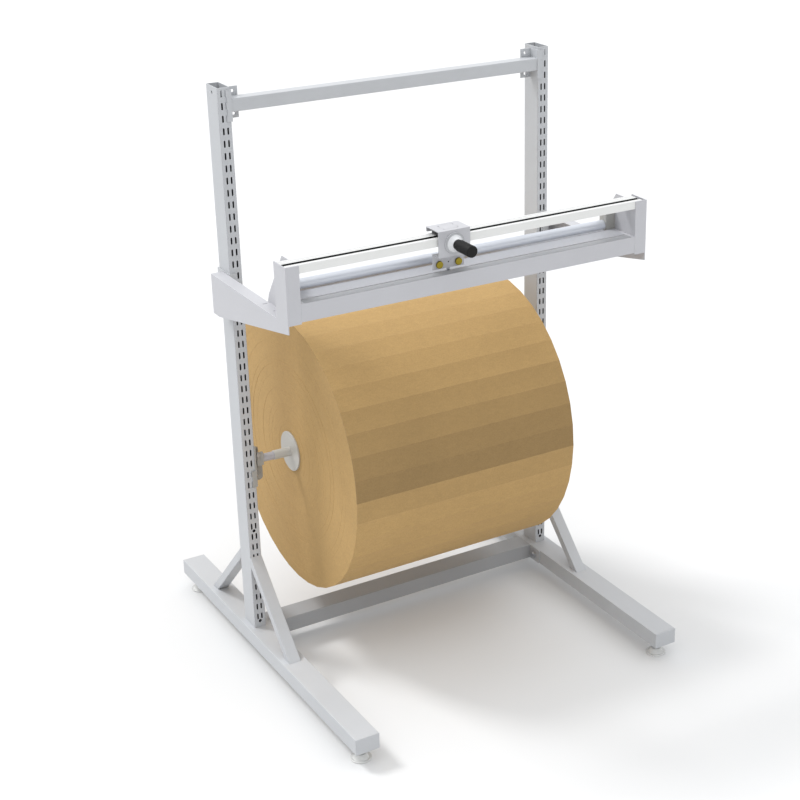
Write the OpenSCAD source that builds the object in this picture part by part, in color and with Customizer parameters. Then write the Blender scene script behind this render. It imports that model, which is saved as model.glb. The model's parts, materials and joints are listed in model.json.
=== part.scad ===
// Free-standing roll stand with a sliding film cutter across its front.
// Millimetres. X runs across the stand, Y from the front to the back, Z up.
// The origin lies on the floor in the middle of the footprint.

/* [Base] */
// Length of each floor rail, front to back
rail_l = 1000; // [900:10:1200]
// Width of the floor rails
rail_w = 60; // [50:1:70]
// Height of the floor rails and of the cross beam
rail_h = 40; // [34:1:50]
// Height of the floor rails' undersides above the floor
foot_h = 38; // [34:1:50]
// Distance from a rail's end to the levelling foot under it
foot_inset = 37.5; // [32:0.5:80]
// Wall of the steel tubes
tube_wall = 2; // [1.5:0.1:3]
// Corner radius of the steel tubes
tube_r = 1.5; // [1:0.1:3]
// Thickness of the plates that close the rails' ends
cap_t = 3; // [2:0.1:5]
// Reach of the diagonal braces up the uprights and along the rails
brace_reach = 200; // [150:5:240]
// Thickness of the diagonal braces
brace_t = 20; // [15:1:30]
// Length of the cross beam's end plates beyond the beam, each way
beam_ear = 45; // [38:1:70]
// Thickness of the cross beam's end plates
beam_plate_t = 3; // [2:0.1:5]

/* [Uprights] */
// Room beside the roll, from each of its ends to an upright's outer face
side_room = 135; // [120:5:200]
// Width of each upright, seen from the front
upright_w = 30; // [28:1:40]
// Depth of each upright, front to back
upright_d = 60; // [50:1:70]
// Height of each upright above the floor rails
upright_h = 1360; // [1350:10:1500]
// Distance of the uprights' front faces behind the rails' middle
upright_setback = 68.5; // [20:0.5:120]
// Distance between one slot and the next up the upright
slot_pitch = 28; // [26:0.5:30]
// Number of slots in each column
slot_n = 48; // [46:1:48]
// Length of each slot
slot_l = 16; // [15:0.1:18]
// Width of each slot
slot_w = 4; // [3.5:0.1:5]
// Distance between the two columns of slots
slot_gap = 10.5; // [9:0.1:12]
// Distance of the topmost slots' middles below the upright's top
slot_top = 13.5; // [12:0.1:20]

/* [Hooked brackets] */
// Thickness of the hooked brackets' sheet
sheet_t = 2.5; // [2:0.1:3]
// Height of a hook's neck inside its slot
hook_h = 15; // [13:0.1:15]
// Slot, counted from the top, that the crossbar is level with
crossbar_slot_n = 1; // [1:1:3]
// Slot that the cutter's arms hang from
cutter_slot_n = 15; // [14:1:16]
// Slot that the roll's brackets hang from
roll_slot_n = 33; // [32:1:33]
// Side of the square top crossbar
crossbar_s = 30; // [25:1:30]
// Reach of the bracket tabs inwards from the uprights
tab_reach = 31; // [30:1:36]

/* [Roll] */
// Diameter of the full roll of wrap
roll_d = 695; // [400:5:700]
// Width of the roll of wrap
roll_w = 600; // [400:10:640]
// Inner diameter of the roll's cardboard core
core_d = 76; // [70:1:80]
// Wall of the roll's cardboard core
core_wall = 4; // [3:0.5:8]
// Diameter of the shaft that carries the roll
shaft_d = 20; // [18:0.5:22]
// Diameter of the flange discs that centre the roll
flange_d = 100; // [94:1:130]
// Length of bare shaft between each flange's sleeve and the bracket's tab
bare_shaft_l = 26; // [15:1:40]

/* [Cutter] */
// Distance from the uprights' front faces to the cutter's front face
arm_reach = 373; // [365:1:400]
// Distance of each arm's outer face outside its upright
arm_w = 32; // [30:1:40]
// Height of the arms' plates at the back
arm_rear_h = 96; // [92:1:110]
// Rise of the arms' lower edge from the back to the front
arm_rise = 75; // [60:1:80]
// Height of the arms' front posts above the arms' top flange
post_h = 128; // [126:1:140]
// Depth of the arms' front posts
post_d = 58; // [54:1:70]
// Height of the lower channel's front face
channel_h = 41; // [36:1:44]
// Depth of the lower channel's top face, front to back
channel_d = 81; // [76:0.5:86]
// Outer diameter of the guide tube
guide_d = 27; // [22:0.5:29]
// Wall of the guide tube
guide_wall = 2; // [1.5:0.1:3]
// Diameter of the fixed axle inside the guide tube
axle_d = 12; // [10:0.5:13]
// Distance between the top rail's right end and the right arm's plate
top_rail_gap = 9; // [1:1:20]
// Depth of the top rail, front to back
top_rail_d = 45.5; // [44:0.5:48]
// Height of the top rail
top_rail_h = 19; // [18:0.5:22]
// Width of the slot along the top rail
track_w = 12; // [11:0.1:13]

/* [Carriage] */
// Place of the carriage along the rail at rest, from the middle
carriage_x = -60.5; // [-300:0.5:300]
// Width of the carriage
carriage_w = 81; // [78:1:90]
// Thickness of the carriage's sheet
carriage_t = 2; // [1.5:0.1:2.5]
// Height of the carriage's front plate
carriage_h = 60; // [57:1:62]
// Diameter of the handle's grip
grip_d = 27; // [24:0.5:30]
// Length of the handle's grip
grip_l = 62; // [50:1:100]
// Diameter of the handle's base flange
handle_flange_d = 50; // [44:0.5:54]
// Diameter of the thumb screws' heads
thumb_d = 17; // [14:0.5:18]
// Distance between the two thumb screws
thumb_gap = 49; // [44:0.5:52]
// Thickness of the blade
blade_t = 0.8; // [0.5:0.1:1]

/* [Hidden] */
$fn = 64;
over = 1;
slack = 0.05;
air = 0.3;

// Places that every sub-part shares
frame_w = roll_w + 2 * side_room;
rail_top = foot_h + rail_h;
rail_mid_z = foot_h + rail_h / 2;
column_x = (frame_w - upright_w) / 2;
frame_in = column_x - upright_w / 2;
frame_out = frame_w / 2;
upright_y = upright_setback;
upright_mid = upright_y + upright_d / 2;
upright_back = upright_y + upright_d;
beam_end = column_x - rail_w / 2;
foot_y = rail_l / 2 - foot_inset;
function slot_z(i) = rail_top + upright_h - slot_top - i * slot_pitch;

// Small holes in the uprights
locator_r = 4;
locator_rises = [17, 270];
locator_drop = 14;

// Cross beam bolts
bolt_r = 5;
bolt_head_r = 9;
bolt_head_h = 6.4;
washer_r = 10.5;
washer_t = 2;
bolt_nut_h = 8;
bolt_ear_share = 0.47;
bolt_level_share = 0.52;
plate_corner = 5;

// Plugs behind the rails' end plates
plug_l = 12;
plug_gap = 0.2;

// Levelling feet
pad_r = 25;
pad_rim_h = 4;
pad_step_r = 19;
pad_top_r = 12;
pad_h = 15;
pad_edge = 1;
stem_r = 5;
stem_floor = 5;
stem_rise = 18;
foot_nut_r = 9.8;
foot_nut_h = 8;
insert_r = 7;
insert_l = 14;
insert_flange_r = 9;
insert_flange_t = 1;

// Hooks that hold the brackets in the slots
hook_out = 7;
hook_drop = 5;
hook_land = 9;
land_corner_x = 2;
crossbar_hooks = 3;
roll_hooks = 2;
cutter_hooks = 3;

// Screws on the crossbar and roll brackets
screw_r = 3;
screw_head_r = 5;
screw_head_h = 3;
screw_end = 8;
screw_nut_r = 5.7;
screw_nut_h = 4.5;
tab_hole_r = 3.5;
tab_hole_in = 18.5;
tab_hole_edge = 10;

// Roll, its shaft and the brackets under the shaft
shaft_rise = 25.5;
shaft_r = shaft_d / 2;
shaft_y = upright_mid - shaft_r;
shaft_z = slot_z(roll_slot_n) + shaft_rise;
flange_t = 4;
plug_in = 28;
sleeve_wall = 1.5;
sleeve_l = frame_in - tab_reach - bare_shaft_l - roll_w / 2 - flange_t;
clamp_w = 17.5;
clamp_in = 8.5;
clamp_rise = 23;
clamp_corner = 4;
clamp_screw_rise = 17;
clamp_screw_in = 12;
bracket_rise = 45;
lug_rise = 29;
lug_reach = 22;
lug_corner = 5;
tab_corner = 10;
small_hole_r = 1.8;
small_hole_in = 16;
small_hole_drops = [32, 50];
roll_edge = 1.5;

// Cutter frame: its front face, the top of the arms' flange and the arms' faces
cutter_y = upright_y - arm_reach;
cutter_rise = 4.5;
cutter_z = slot_z(cutter_slot_n) + cutter_rise;
arm_in = frame_out;
arm_out = frame_out + arm_w;
arm_t = sheet_t;
arm_tail = 35;
tail_flat = 32;
wall_back = 165;
wall_knee_y = 157;
wall_knee_z = 20;
ear_back = 80;
post_foot = 2;
hook_tail = 65;
hook_above = 3;
arm_land = 14.5;
relief_w = 2.5;
relief_long = 11;
relief_short = 5;
relief_back = 153;
relief_front = 101;
relief_in = 8;

// Lower channel, guide tube and its bearings
channel_rise = 1.5;
channel_z = cutter_z + channel_rise;
channel_top = channel_z + channel_h;
channel_back = cutter_y + channel_d;
channel_back_drop = 30;
channel_return = 12;
slit_w = 4;
slit_back = 27;
slit_y = cutter_y + slit_back;
slit_end = 9;
guide_r = guide_d / 2;
guide_gap = 1;
guide_dip = 6;
guide_y = channel_back + guide_gap + guide_r;
guide_z = channel_top - guide_dip + guide_r;
guide_end_gap = 0.5;
bearing_in = 26;
bearing_back = 13;
bearing_h = 47;
bearing_drop = 8;
bush_l = 20;
axle_r = axle_d / 2;
axle_nut_r = 9.8;
axle_nut_h = 6;

// Top rail with its T-shaped track
top_rail_y = cutter_y + arm_t;
top_rail_z = cutter_z + post_h - top_rail_h;
rail_top_face = cutter_z + post_h;
top_rail_x = -(arm_out - arm_t);
top_rail_l = 2 * (arm_out - arm_t) - top_rail_gap;
track_back = 16.5;
track_y = top_rail_y + track_back;
track_lip = 4;
lining_t = 2;
cavity_w = 20;
cavity_h = 8;
liner_t = 2;
bore_w = 12;
bore_h = 12;
bore_back = 4;

// Carriage, handle and blade
carriage_gap = 1;
carriage_rise = 16;
carriage_front = cutter_y - carriage_gap - carriage_t;
carriage_top = rail_top_face + carriage_rise;
carriage_back = top_rail_y + top_rail_d + carriage_gap + carriage_t;
carriage_foot = carriage_top - carriage_h;
lip_h = 12;
lip_corner = 3;
blade_plate_y = slit_y - blade_t / 2 - carriage_t;
blade_plate_h = 37;
blade_plate_z = carriage_foot + carriage_t - blade_plate_h;
block_in = 12;
block_side = 1;
foot_side = 0.3;
carriage_screw_r = 1.5;
carriage_screw_head_r = 2.75;
carriage_screw_l = 10;
carriage_screw_x = 18;
carriage_screw_edge = 15;
socket_r = 1.1;
socket_deep = 1;
handle_drop = 15;
handle_z = rail_top_face - handle_drop;
handle_flange_t = 3;
ring_r = 22.5;
ring_w = 1.2;
ring_deep = 0.6;
cone_r = 19;
cone_l = 11;
cone_tip_r = 12.5;
stud_r = 5;
stud_l = 50;
grip_edge = 1.5;
neck_l = 9;
neck_deep = 1.5;
handle_bolt_r = 3;
handle_bolt_head_r = 6;
handle_bolt_head_h = 2.5;
handle_bolt_l = 24;
thumb_rise = 11;
thumb_z = blade_plate_z + thumb_rise;
thumb_head_t = 4.5;
thumb_r = 2.5;
thumb_l = 9;
knurl_n = 36;
knurl_deep = 0.5;
spare_hole_r = 2;
spare_hole_rise = 14;
blade_top_half = 31;
blade_top_h = 20;
blade_foot = 3;
blade_point = 25;
blade_root_half = 5;
blade_tip_half = 1;
bar_half = 33;
bar_h = 17;
bar_t = 5;

// A sheet in the plane across the stand, from y0 to y0 + t
module facing_sheet(y0, t) {
  translate([0, y0 + t, 0]) rotate([90, 0, 0]) linear_extrude(t) children();
}

// A sheet in the plane along the stand, from x0 to x0 + t, drawn with Y and Z
module side_sheet(x0, t) {
  translate([x0, 0, 0]) rotate([90, 0, 90]) linear_extrude(t) children();
}

// The right-hand form as drawn, or its mirror image on the left
module sided(side) {
  mirror([side < 0 ? 1 : 0, 0, 0]) children();
}

module rounded_rect(w, h, r) {
  square([w - 2 * r, h], center = true);
  square([w, h - 2 * r], center = true);
  for (sx = [-1, 1], sy = [-1, 1])
    translate([sx * (w / 2 - r), sy * (h / 2 - r)]) circle(r);
}

module tube_profile(w, h) {
  difference() {
    rounded_rect(w, h, tube_r);
    square([w - 2 * tube_wall, h - 2 * tube_wall], center = true);
  }
}

module box(x0, x1, y0, y1, z0, z1) {
  translate([x0, y0, z0]) cube([x1 - x0, y1 - y0, z1 - z0]);
}

module along_x(x, y, z) {
  translate([x, y, z]) rotate([0, 90, 0]) children();
}

module along_y(x, y, z) {
  translate([x, y, z]) rotate([-90, 0, 0]) children();
}

function beam_bolt_ys() = [
  upright_y - bolt_ear_share * beam_ear,
  upright_back + bolt_ear_share * beam_ear
];

// Base

module base_rail(side) {
  color([0.84, 0.85, 0.87])
  sided(side) difference() {
    translate([column_x, 0, rail_mid_z]) rotate([90, 0, 0])
      linear_extrude(rail_l - 2 * cap_t, center = true) tube_profile(rail_w, rail_h);
    for (y = [-foot_y, foot_y])
      translate([column_x, y, foot_h - over]) cylinder(r = insert_r, h = tube_wall + 2 * over);
    for (y = beam_bolt_ys())
      along_x(beam_end - over, y, beam_bolt_z()) cylinder(r = bolt_r + slack, h = tube_wall + 2 * over);
  }
}

function beam_bolt_z() = rail_top - bolt_level_share * rail_h;

module rail_end_caps() {
  plug_in_wall = tube_wall + plug_gap;
  color([0.82, 0.83, 0.85])
  for (sx = [-1, 1], sy = [-1, 1]) {
    translate([sx * column_x, sy * (rail_l / 2 - cap_t / 2), rail_mid_z]) rotate([90, 0, 0])
      linear_extrude(cap_t, center = true) rounded_rect(rail_w, rail_h, tube_r);
    translate([sx * column_x, sy * (rail_l / 2 - cap_t - plug_l / 2), rail_mid_z]) rotate([90, 0, 0])
      linear_extrude(plug_l, center = true)
        square([rail_w - 2 * plug_in_wall, rail_h - 2 * plug_in_wall], center = true);
  }
}

module slot_shape() {
  square([slot_w, slot_l - slot_w], center = true);
  for (s = [-1, 1])
    translate([0, s * (slot_l - slot_w) / 2]) circle(slot_w / 2, $fn = 24);
}

module upright(side) {
  color([0.84, 0.85, 0.86])
  sided(side) difference() {
    translate([column_x, upright_mid, rail_top])
      linear_extrude(upright_h) tube_profile(upright_w, upright_d);
    facing_sheet(upright_y - over, tube_wall + 2 * over)
      for (i = [0 : slot_n - 1], s = [-1, 1])
        translate([column_x + s * slot_gap / 2, slot_z(i)]) slot_shape();
    for (z = locator_rises)
      along_y(column_x, upright_y - over, rail_top + z) cylinder(r = locator_r, h = tube_wall + 2 * over);
    along_x(frame_out - tube_wall - over, upright_mid, rail_top + upright_h - locator_drop)
      cylinder(r = locator_r, h = tube_wall + 2 * over);
  }
}

module brace(side, front) {
  y0 = front ? upright_y : upright_back;
  color([0.84, 0.85, 0.87])
  sided(side) translate([column_x, y0, rail_top]) mirror([0, front ? 0 : 1, 0]) intersection() {
    translate([0, -brace_reach, 0]) rotate([-45, 0, 0]) translate([0, brace_t / 2, -2 * brace_t])
      linear_extrude(2 * brace_reach) tube_profile(upright_w, brace_t);
    box(-upright_w, upright_w, -2 * brace_reach, 0, 0, 2 * brace_reach);
  }
}

module bottom_cross_beam() {
  color([0.84, 0.85, 0.87])
  along_x(0, upright_mid, rail_mid_z) linear_extrude(2 * (beam_end - beam_plate_t), center = true)
    tube_profile(rail_h, upright_d);
}

module beam_plate(side) {
  color([0.82, 0.83, 0.85])
  sided(side) side_sheet(beam_end - beam_plate_t, beam_plate_t) difference() {
    translate([upright_mid, rail_mid_z]) rounded_rect(upright_d + 2 * beam_ear, rail_h, plate_corner);
    for (y = beam_bolt_ys())
      translate([y, beam_bolt_z()]) circle(bolt_r + slack);
  }
}

module beam_bolts() {
  color([0.7, 0.71, 0.73])
  for (side = [-1, 1], y = beam_bolt_ys()) {
    sided(side) along_x(beam_end - beam_plate_t, y, beam_bolt_z()) {
      translate([0, 0, -washer_t]) cylinder(r = washer_r, h = washer_t);
      translate([0, 0, -washer_t - bolt_head_h]) cylinder(r = bolt_head_r, h = bolt_head_h, $fn = 6);
      translate([0, 0, -washer_t])
        cylinder(r = bolt_r, h = washer_t + beam_plate_t + tube_wall + bolt_nut_h);
    }
    sided(side) along_x(beam_end + tube_wall, y, beam_bolt_z())
      difference() {
        cylinder(r = bolt_head_r, h = bolt_nut_h, $fn = 6);
        translate([0, 0, -over]) cylinder(r = bolt_r + slack, h = bolt_nut_h + 2 * over);
      }
  }
}

module foot_pad(side, y) {
  color([0.93, 0.93, 0.93])
  translate([side * column_x, y, 0]) rotate_extrude() polygon([
    [0, 0], [pad_r - pad_edge, 0], [pad_r, pad_edge], [pad_r, pad_rim_h - pad_edge],
    [pad_r - pad_edge, pad_rim_h], [pad_step_r, pad_rim_h], [pad_top_r + pad_edge, pad_h - pad_edge],
    [pad_top_r, pad_h], [stem_r + slack, pad_h], [stem_r + slack, stem_floor], [0, stem_floor]
  ]);
}

module foot_stem(side, y) {
  color([0.75, 0.76, 0.78])
  translate([side * column_x, y, stem_floor]) cylinder(r = stem_r, h = foot_h + stem_rise - stem_floor);
}

module foot_lock_nuts() {
  color([0.7, 0.71, 0.73])
  for (sx = [-1, 1], sy = [-1, 1])
    translate([sx * column_x, sy * foot_y, foot_h - insert_flange_t - foot_nut_h]) difference() {
      cylinder(r = foot_nut_r, h = foot_nut_h, $fn = 6);
      translate([0, 0, -over]) cylinder(r = stem_r + slack, h = foot_nut_h + 2 * over);
    }
}

module foot_inserts() {
  color([0.66, 0.67, 0.68])
  for (sx = [-1, 1], sy = [-1, 1])
    translate([sx * column_x, sy * foot_y, foot_h - insert_flange_t]) difference() {
      union() {
        cylinder(r = insert_flange_r, h = insert_flange_t);
        cylinder(r = insert_r - slack, h = insert_flange_t + insert_l);
      }
      translate([0, 0, -over]) cylinder(r = stem_r + slack, h = insert_flange_t + insert_l + 2 * over);
    }
}

// Hooked brackets

// One hook: its neck lies in the slot and its nose drops behind the upright's wall
module hook(x, z, edge_x) {
  nose = upright_y + tube_wall + air;
  facing_sheet(upright_y - sheet_t, sheet_t)
    translate([min(x - sheet_t / 2, edge_x), z - hook_h / 2])
      square([max(x + sheet_t / 2, edge_x) - min(x - sheet_t / 2, edge_x), hook_h]);
  side_sheet(x - sheet_t / 2, sheet_t) polygon([
    [upright_y - sheet_t, z - hook_h / 2], [nose, z - hook_h / 2], [nose, z - hook_h / 2 - hook_drop],
    [upright_y + hook_out, z - hook_h / 2 - hook_drop], [upright_y + hook_out, z + hook_h / 2],
    [upright_y - sheet_t, z + hook_h / 2]
  ]);
}

module top_crossbar() {
  color([0.84, 0.85, 0.87])
  difference() {
    along_x(0, upright_mid - crossbar_s / 2, slot_z(crossbar_slot_n))
      linear_extrude(2 * (frame_in - sheet_t), center = true) tube_profile(crossbar_s, crossbar_s);
    for (s = [-1, 1])
      along_y(s * (frame_in - tab_hole_in), upright_mid - tube_wall - over, slot_z(crossbar_slot_n))
        cylinder(r = screw_r + slack, h = tube_wall + 2 * over);
  }
}

module crossbar_bracket(side) {
  mid = slot_z(crossbar_slot_n);
  half = slot_pitch + hook_h / 2;
  color([0.83, 0.84, 0.86])
  sided(side) {
    facing_sheet(upright_y - sheet_t, sheet_t)
      translate([frame_in - sheet_t, mid - half]) square([sheet_t + hook_land, 2 * half]);
    side_sheet(frame_in - sheet_t, sheet_t)
      translate([upright_y - sheet_t, mid - half]) square([upright_d / 2 + 2 * sheet_t, 2 * half]);
    facing_sheet(upright_mid, sheet_t) difference() {
      translate([frame_in - tab_reach, mid - half]) square([tab_reach, 2 * half]);
      for (z = [mid - half + tab_hole_edge, mid, mid + half - tab_hole_edge])
        translate([frame_in - tab_hole_in, z]) circle(z == mid ? screw_r + slack : tab_hole_r);
    }
    for (i = [0 : crossbar_hooks - 1])
      hook(column_x - slot_gap / 2, slot_z(crossbar_slot_n + 1 - i), frame_in + hook_land);
  }
}

module shaft_bracket(side) {
  low = slot_z(roll_slot_n + roll_hooks - 1) - hook_h / 2;
  land_top = slot_z(roll_slot_n) + hook_h / 2;
  high = shaft_z + bracket_rise;
  color([0.72, 0.72, 0.72])
  sided(side) {
    facing_sheet(upright_y - sheet_t, sheet_t) {
      translate([frame_in - sheet_t, low]) square([sheet_t + hook_land, land_top - low]);
      translate([frame_in - sheet_t, low]) square([sheet_t + land_corner_x, high - low]);
    }
    side_sheet(frame_in - sheet_t, sheet_t)
      translate([upright_y - sheet_t, low]) square([upright_d / 2 + 2 * sheet_t, high - low]);
    facing_sheet(upright_mid, sheet_t) difference() {
      union() {
        translate([frame_in - tab_reach, low + tab_corner])
          square([tab_reach, shaft_z + shaft_r - low - tab_corner]);
        translate([frame_in - tab_reach + tab_corner, low]) square([tab_reach - tab_corner, 2 * tab_corner]);
        translate([frame_in - tab_reach + tab_corner, low + tab_corner]) circle(tab_corner);
        translate([frame_in - lug_reach, shaft_z]) square([lug_reach, lug_rise - lug_corner]);
        translate([frame_in - lug_reach + lug_corner, shaft_z]) square([lug_reach - lug_corner, lug_rise]);
        translate([frame_in - lug_reach + lug_corner, shaft_z + lug_rise - lug_corner]) circle(lug_corner);
      }
      for (drop = small_hole_drops)
        translate([frame_in - small_hole_in, shaft_z - drop]) circle(small_hole_r);
      translate([frame_in - clamp_screw_in, shaft_z + clamp_screw_rise]) circle(screw_r + slack);
    }
    for (i = [0 : roll_hooks - 1])
      hook(column_x - slot_gap / 2, slot_z(roll_slot_n + i), frame_in + hook_land);
  }
}

// Saddle that the shaft's end lies in, with a front wall that a screw pulls back
module shaft_clamp(side) {
  x0 = frame_in - clamp_in - clamp_w;
  floor_z = shaft_z - shaft_r - slack;
  wall_y = shaft_y - shaft_r - slack;
  color([0.72, 0.71, 0.69])
  sided(side) {
    facing_sheet(wall_y - sheet_t, sheet_t) difference() {
      union() {
        translate([x0, floor_z - sheet_t])
          square([clamp_w, shaft_z + clamp_rise - clamp_corner - floor_z + sheet_t]);
        translate([x0 + clamp_corner, floor_z])
          square([clamp_w - clamp_corner, shaft_z + clamp_rise - floor_z]);
        translate([x0 + clamp_corner, shaft_z + clamp_rise - clamp_corner]) circle(clamp_corner);
      }
      translate([frame_in - clamp_screw_in, shaft_z + clamp_screw_rise]) circle(screw_r + slack);
    }
    box(x0, x0 + clamp_w, wall_y - sheet_t, upright_mid, floor_z - sheet_t, floor_z);
  }
}

module bracket_screws() {
  clamp_face = shaft_y - shaft_r - slack - sheet_t;
  bar_z = slot_z(crossbar_slot_n);
  color([0.78, 0.78, 0.8])
  for (side = [-1, 1]) sided(side) {
    along_y(frame_in - clamp_screw_in, clamp_face, shaft_z + clamp_screw_rise) {
      translate([0, 0, -screw_head_h]) cylinder(r = screw_head_r, h = screw_head_h);
      cylinder(r = screw_r, h = upright_mid + sheet_t + screw_nut_h - clamp_face);
    }
    along_y(frame_in - clamp_screw_in, upright_mid + sheet_t, shaft_z + clamp_screw_rise) difference() {
      cylinder(r = screw_nut_r, h = screw_nut_h, $fn = 6);
      translate([0, 0, -over]) cylinder(r = screw_r + slack, h = screw_nut_h + 2 * over);
    }
    along_y(frame_in - tab_hole_in, upright_mid - screw_end, bar_z) {
      cylinder(r = screw_r, h = screw_end + sheet_t);
      translate([0, 0, screw_end + sheet_t]) cylinder(r = screw_head_r, h = screw_head_h);
    }
  }
}

// Roll

module roll_shaft() {
  half = frame_in - clamp_in;
  color([0.8, 0.82, 0.86])
  along_x(-half, shaft_y, shaft_z) cylinder(r = shaft_r, h = 2 * half);
}

module core_flange(side) {
  half = roll_w / 2;
  color([0.88, 0.89, 0.92])
  sided(side) along_x(half, shaft_y, shaft_z) difference() {
    union() {
      cylinder(r = flange_d / 2, h = flange_t, $fn = 96);
      translate([0, 0, -plug_in]) cylinder(r = core_d / 2 - slack, h = plug_in);
      cylinder(r = shaft_r + sleeve_wall, h = flange_t + sleeve_l);
    }
    translate([0, 0, -plug_in - over])
      cylinder(r = shaft_r + slack, h = plug_in + flange_t + sleeve_l + 2 * over);
  }
}

module core_tube() {
  color([0.6, 0.48, 0.34])
  along_x(-roll_w / 2, shaft_y, shaft_z) difference() {
    cylinder(r = core_d / 2 + core_wall, h = roll_w);
    translate([0, 0, -over]) cylinder(r = core_d / 2, h = roll_w + 2 * over);
  }
}

module wrap_roll() {
  color([0.78, 0.65, 0.44])
  along_x(-roll_w / 2, shaft_y, shaft_z) rotate_extrude($fn = 128) polygon([
    [core_d / 2 + core_wall, 0], [roll_d / 2 - roll_edge, 0], [roll_d / 2, roll_edge],
    [roll_d / 2, roll_w - roll_edge], [roll_d / 2 - roll_edge, roll_w], [core_d / 2 + core_wall, roll_w]
  ]);
}

// Cutter frame

module arm(side) {
  front = cutter_y;
  tail = upright_y + arm_tail;
  flange_z = cutter_z - arm_t;
  low = cutter_z - arm_rear_h;
  step = arm_w - arm_t;
  color([0.86, 0.87, 0.9])
  sided(side) {
    side_sheet(arm_out - arm_t, arm_t) polygon([
      [tail, cutter_z], [tail, low], [tail - tail_flat, low], [front, low + arm_rise],
      [front, cutter_z + post_h], [front + post_d, cutter_z + post_h], [front + post_d, cutter_z]
    ]);
    translate([0, 0, flange_z]) linear_extrude(arm_t) difference() {
      translate([arm_in + arm_t, front]) square([step, tail - front]);
      translate([arm_in + relief_in, front + relief_back]) square([relief_long, relief_w]);
      translate([arm_in + relief_in + relief_short, front + relief_front]) square([relief_short, relief_w]);
    }
    facing_sheet(tail - arm_t, arm_t) translate([arm_in + arm_t, low]) square([step, arm_rear_h]);
    side_sheet(arm_in, arm_t) polygon([
      [front, flange_z], [front + wall_back, flange_z], [front + wall_knee_y, cutter_z + wall_knee_z],
      [front + ear_back, cutter_z + post_h], [top_rail_y + top_rail_d, cutter_z + post_h],
      [top_rail_y + top_rail_d, top_rail_z], [front, top_rail_z]
    ]);
    facing_sheet(front, arm_t)
      translate([arm_in, cutter_z - post_foot]) square([arm_w, post_h + post_foot]);
  }
}

module arm_hook(side) {
  low = slot_z(cutter_slot_n + cutter_hooks - 1) - hook_h / 2;
  high = cutter_z + hook_above;
  color([0.83, 0.84, 0.86])
  sided(side) {
    side_sheet(frame_out, sheet_t)
      translate([upright_y - sheet_t, low]) square([hook_tail + sheet_t, high - low]);
    facing_sheet(upright_y - sheet_t, sheet_t)
      translate([frame_out - arm_land, low]) square([arm_land + sheet_t, high - low]);
    for (i = [0 : cutter_hooks - 1])
      hook(column_x + slot_gap / 2, slot_z(cutter_slot_n + i), frame_out);
  }
}

module lower_channel() {
  back = channel_back;
  color([0.74, 0.75, 0.78])
  difference() {
    union() {
      box(-arm_in, arm_in, cutter_y, cutter_y + arm_t, channel_z, channel_top);
      box(-arm_in, arm_in, cutter_y, back, channel_top - arm_t, channel_top);
      box(-arm_in, arm_in, cutter_y, cutter_y + channel_return, channel_z, channel_z + arm_t);
      box(-arm_in, arm_in, back - arm_t, back, channel_top - channel_back_drop, channel_top);
    }
    box(-arm_in + slit_end, arm_in - slit_end, slit_y - slit_w / 2, slit_y + slit_w / 2,
        channel_top - arm_t - over, channel_top + over);
  }
}

module guide_tube() {
  half = arm_in - bearing_in - guide_end_gap;
  color([0.8, 0.84, 0.88])
  along_x(-half, guide_y, guide_z) difference() {
    cylinder(r = guide_r, h = 2 * half);
    translate([0, 0, -over]) cylinder(r = guide_r - guide_wall, h = 2 * (half + over));
  }
}

module guide_bushes() {
  half = arm_in - bearing_in - guide_end_gap;
  color([0.85, 0.85, 0.83])
  for (side = [-1, 1]) sided(side) along_x(half - bush_l, guide_y, guide_z) difference() {
    cylinder(r = guide_r - guide_wall - slack, h = bush_l);
    translate([0, 0, -over]) cylinder(r = axle_r + slack, h = bush_l + 2 * over);
  }
}

module guide_axle() {
  half = arm_in - bearing_in + sheet_t + axle_nut_h;
  color([0.72, 0.73, 0.75])
  along_x(-half, guide_y, guide_z) cylinder(r = axle_r, h = 2 * half);
}

module axle_nuts() {
  color([0.7, 0.71, 0.73])
  for (side = [-1, 1]) sided(side) along_x(arm_in - bearing_in + sheet_t, guide_y, guide_z) difference() {
    cylinder(r = axle_nut_r, h = axle_nut_h, $fn = 6);
    translate([0, 0, -over]) cylinder(r = axle_r + slack, h = axle_nut_h + 2 * over);
  }
}

module bearing_bracket(side) {
  x0 = arm_in - bearing_in;
  foot = channel_top - bearing_drop;
  high = bearing_drop + bearing_h;
  color([0.62, 0.63, 0.65])
  sided(side) {
    side_sheet(x0, sheet_t) difference() {
      translate([channel_back, foot]) square([guide_gap + guide_r + bearing_back, high]);
      translate([guide_y, guide_z]) circle(axle_r + slack);
    }
    facing_sheet(channel_back, sheet_t) translate([x0, foot]) square([bearing_in, high]);
  }
}

module top_rail() {
  color([0.93, 0.93, 0.92])
  side_sheet(top_rail_x, top_rail_l) difference() {
    translate([top_rail_y, top_rail_z]) square([top_rail_d, top_rail_h]);
    translate([track_y - track_w / 2, rail_top_face - track_lip]) square([track_w, track_lip + over]);
    translate([track_y - cavity_w / 2, rail_top_face - track_lip - cavity_h]) square([cavity_w, cavity_h]);
    translate([top_rail_y + top_rail_d - bore_back - bore_w, top_rail_z + (top_rail_h - bore_h) / 2])
      square([bore_w, bore_h]);
  }
}

module rail_liner() {
  color([0.2, 0.2, 0.19])
  side_sheet(top_rail_x, top_rail_l) {
    translate([track_y - cavity_w / 2 + slack, rail_top_face - track_lip - cavity_h])
      square([cavity_w - 2 * slack, liner_t]);
    for (y = [track_y - track_w / 2 + slack, track_y + track_w / 2 - lining_t])
      translate([y, rail_top_face - track_lip]) square([lining_t - slack, track_lip]);
  }
}

// Carriage

function carriage_screw_places() = [
  for (sx = [-1, 1], y = [carriage_front + carriage_screw_edge, carriage_back - carriage_screw_edge])
    [carriage_x + sx * carriage_screw_x, y]
];

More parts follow.
